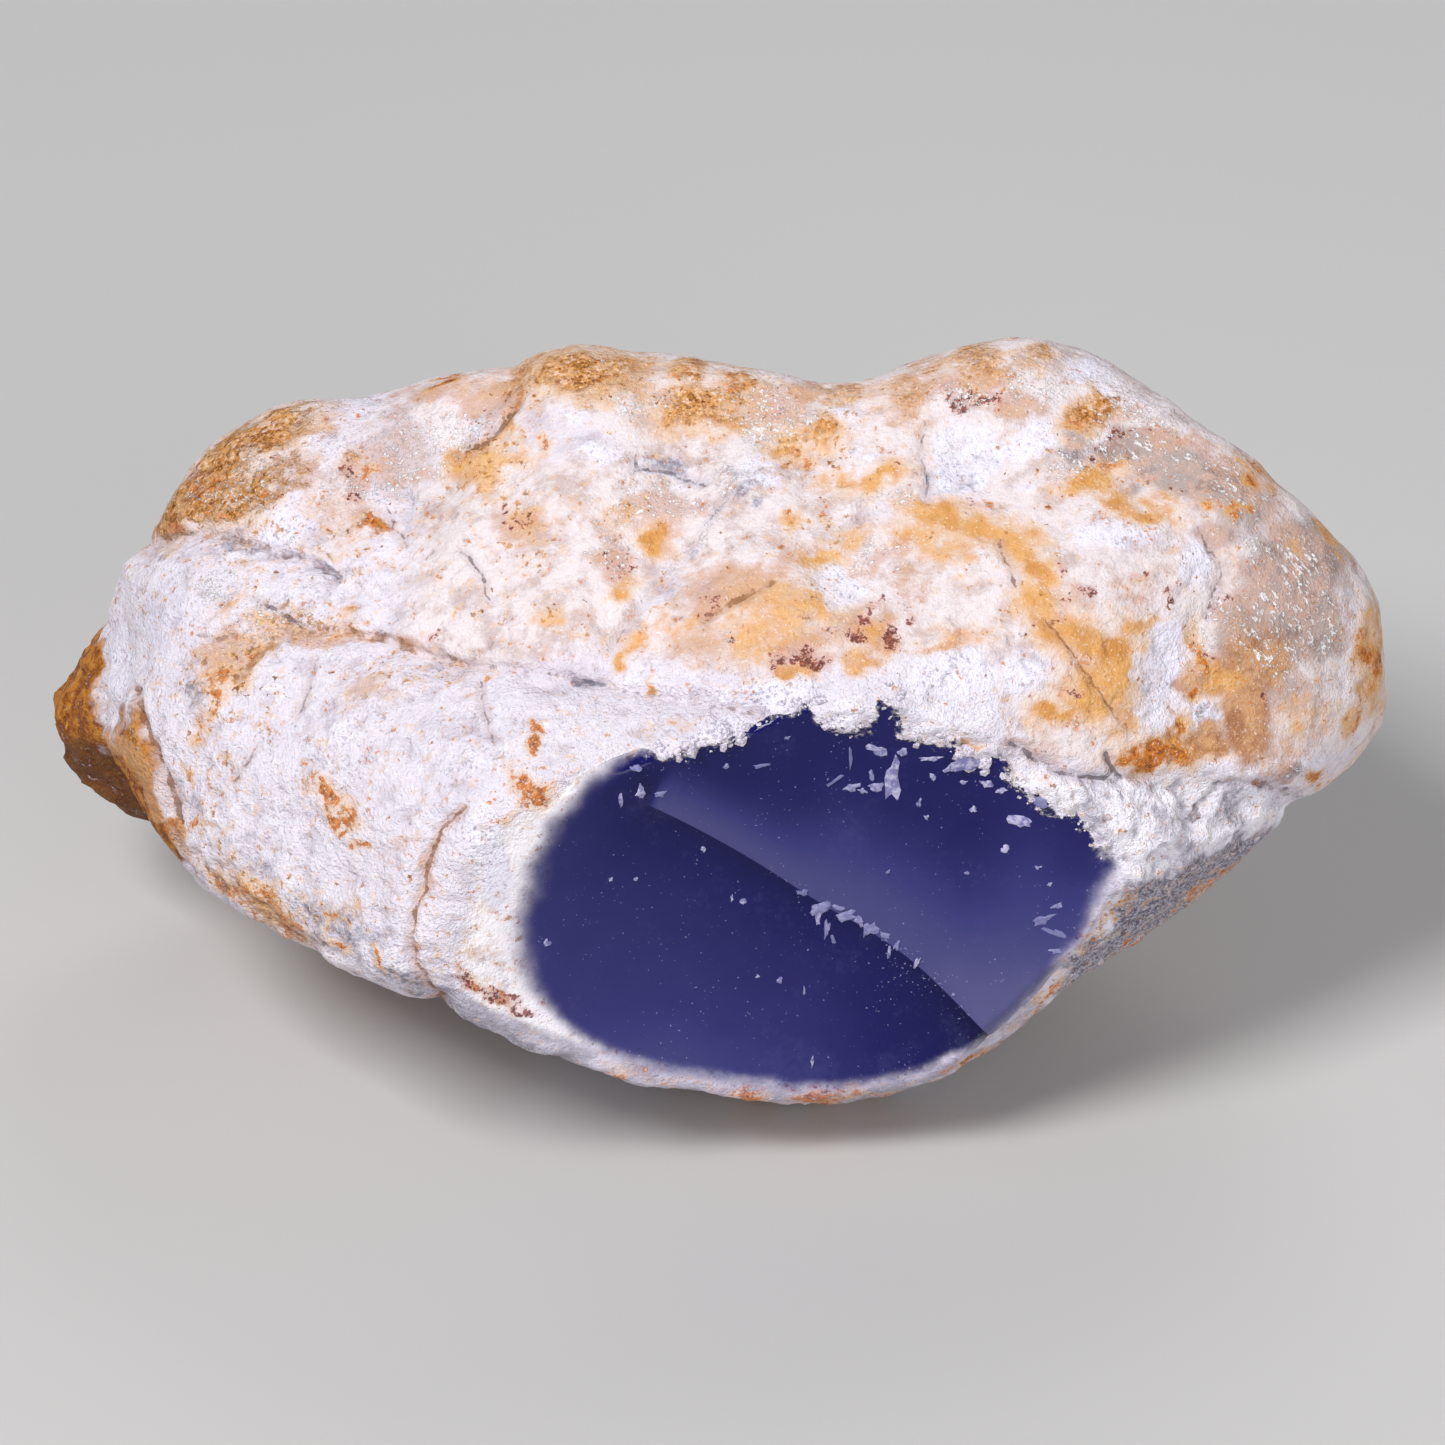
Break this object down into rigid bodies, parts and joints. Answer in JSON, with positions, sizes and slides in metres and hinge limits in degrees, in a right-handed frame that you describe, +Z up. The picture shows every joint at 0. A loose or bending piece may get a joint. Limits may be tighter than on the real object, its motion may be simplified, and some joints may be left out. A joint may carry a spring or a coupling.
{
  "type": "rough chalcedony nodule",
  "caption": "Rough chalcedony nodule in a pale stained crust, broken open at the front on a smooth dark indigo window, resting on a small flat spot.",
  "frame": {"origin": "on the ground under the middle of the stone's box, at the level of its flat spot", "axes": "+Z up, the stone's length along X, its broken window facing -Y"},
  "size_m": [0.071, 0.0398, 0.0367],
  "materials": {
    "chalcedony": "chalky crust with a glassy dark window"
  },
  "bodies": {
    "root": {"nodule": "chalcedony"}
  },
  "joints": []
}
